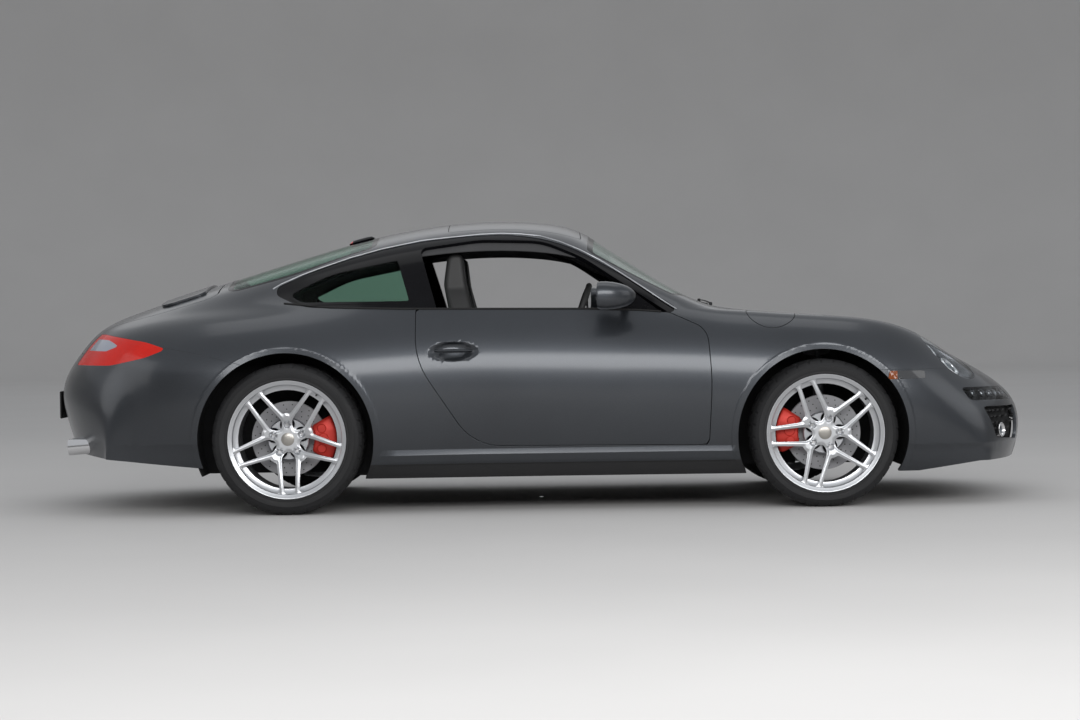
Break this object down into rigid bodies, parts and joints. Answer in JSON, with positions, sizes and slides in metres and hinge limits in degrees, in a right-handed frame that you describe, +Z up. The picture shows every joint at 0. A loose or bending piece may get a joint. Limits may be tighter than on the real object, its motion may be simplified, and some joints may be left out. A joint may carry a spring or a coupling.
{
  "type": "two-door coupe car",
  "caption": "Low two-door coupe, engine behind the rear axle: opening doors, lids and fuel flap, steered front wheels and turning wheels on real hubs.",
  "frame": {"origin": "on the ground under the middle of the car's length and width", "axes": "+X towards the front, +Y towards the car's left side, +Z up"},
  "size_m": [4.4335, 1.9362, 1.2994],
  "materials": {
    "body_paint": "dark grey metallic, clear coated",
    "black_trim": "satin",
    "screen_glass": "green tint",
    "headlamp": "clear lens over bright reflector",
    "tail_lamp": "red lens",
    "liner": "moulded felt and sheet",
    "rubber_tyre": "matt",
    "rim_silver": "silver painted",
    "disc_steel": "machined",
    "caliper_red": "gloss red",
    "cast_metal": "cast",
    "exhaust_steel": "polished tips",
    "seat_leather": "black",
    "interior": "grained"
  },
  "bodies": {
    "root": {"quarter_windows": "screen_glass", "windscreen": "screen_glass", "rear_window": "screen_glass", "headlamps": "headlamp", "tail_lamps": "tail_lamp", "bumper_lamps": "headlamp", "intake_grilles": "black_trim", "front_bumper": "body_paint", "rear_bumper": "body_paint", "cowl_panel": "black_trim", "front_fenders": "body_paint", "roof_panel": "body_paint", "side_panel_right": "body_paint", "sills": "body_paint", "side_panel_left": "body_paint", "wheel_houses": "liner", "floor_pan": "liner", "luggage_well": "liner", "calipers_rear": "caliper_red", "front_suspension": "cast_metal", "rear_suspension": "cast_metal", "dashboard": "interior", "wipers": "black_trim", "high_brake_lamp": "tail_lamp", "engine_block": "cast_metal", "exhaust": "exhaust_steel", "plate_holder": "black_trim", "front_seats": "seat_leather", "rear_seats": "seat_leather"},
    "door_right": {"door_panel_right": "body_paint", "mirror_right": "body_paint"},
    "door_left": {"door_panel_left": "body_paint", "mirror_left": "body_paint"},
    "front_lid": {"front_lid": "body_paint"},
    "engine_lid": {"engine_lid": "body_paint", "rear_spoiler": "body_paint"},
    "fuel_flap": {"fuel_flap": "body_paint"},
    "steering_wheel": {"steering_wheel": "interior"},
    "knuckle_right": {"knuckle_right": "cast_metal", "caliper_front_right": "caliper_red"},
    "knuckle_left": {"knuckle_left": "cast_metal", "caliper_front_left": "caliper_red"},
    "wheel_front_right": {"tyre_front_right": "rubber_tyre", "rim_front_right": "rim_silver", "brake_disc_front_right": "disc_steel"},
    "wheel_front_left": {"tyre_front_left": "rubber_tyre", "rim_front_left": "rim_silver", "brake_disc_front_left": "disc_steel"},
    "wheel_rear_right": {"tyre_rear_right": "rubber_tyre", "rim_rear_right": "rim_silver", "brake_disc_rear_right": "disc_steel"},
    "wheel_rear_left": {"tyre_rear_left": "rubber_tyre", "rim_rear_left": "rim_silver", "brake_disc_rear_left": "disc_steel"}
  },
  "joints": [
    {"name": "door_right_hinge", "type": "hinge", "parent": "root", "child": "door_right", "pos_m": [0.7725, -0.84884, 0.49], "axis": [0, 0, 1], "range_deg": [0, 65]},
    {"name": "door_left_hinge", "type": "hinge", "parent": "root", "child": "door_left", "pos_m": [0.7725, 0.84884, 0.49], "axis": [0, 0, -1], "range_deg": [0, 65]},
    {"name": "front_lid_hinge", "type": "hinge", "parent": "root", "child": "front_lid", "pos_m": [0.7945, 0, 0.88035], "axis": [0, -1, 0], "range_deg": [0, 55]},
    {"name": "engine_lid_hinge", "type": "hinge", "parent": "root", "child": "engine_lid", "pos_m": [-1.4465, 0, 1.02562], "axis": [0, 1, 0], "range_deg": [0, 60]},
    {"name": "fuel_flap_hinge", "type": "hinge", "parent": "root", "child": "fuel_flap", "pos_m": [1.14704, -0.69271, 0.83127], "axis": [0, 0.9062, 0.4229], "range_deg": [0, 85]},
    {"name": "steer_right", "type": "hinge", "parent": "root", "child": "knuckle_right", "pos_m": [1.2425, -0.7035, 0.1855], "axis": [0, 0.2997, 0.954], "range_deg": [-33, 33]},
    {"name": "steer_left", "type": "hinge", "parent": "root", "child": "knuckle_left", "pos_m": [1.2425, 0.7035, 0.1855], "axis": [0, -0.2997, 0.954], "range_deg": [-33, 33]},
    {"name": "steering_wheel_turn", "type": "hinge", "parent": "root", "child": "steering_wheel", "pos_m": [0.1715, -0.37, 0.826], "axis": [-0.9404, 0, 0.3401], "range_deg": [-472, 472]},
    {"name": "wheel_front_right_spin", "type": "hinge", "parent": "knuckle_right", "child": "wheel_front_right", "pos_m": [1.2425, -0.7435, 0.3235], "axis": [0, 1, 0], "continuous": true},
    {"name": "wheel_front_left_spin", "type": "hinge", "parent": "knuckle_left", "child": "wheel_front_left", "pos_m": [1.2425, 0.7435, 0.3235], "axis": [0, 1, 0], "continuous": true},
    {"name": "wheel_rear_right_spin", "type": "hinge", "parent": "root", "child": "wheel_rear_right", "pos_m": [-1.1075, -0.745, 0.33], "axis": [0, 1, 0], "continuous": true},
    {"name": "wheel_rear_left_spin", "type": "hinge", "parent": "root", "child": "wheel_rear_left", "pos_m": [-1.1075, 0.745, 0.33], "axis": [0, 1, 0], "continuous": true}
  ],
  "couplings": [
    {"joint": "steer_left", "follows": "steer_right", "ratio": 1},
    {"joint": "steering_wheel_turn", "follows": "steer_right", "ratio": 14.3}
  ]
}
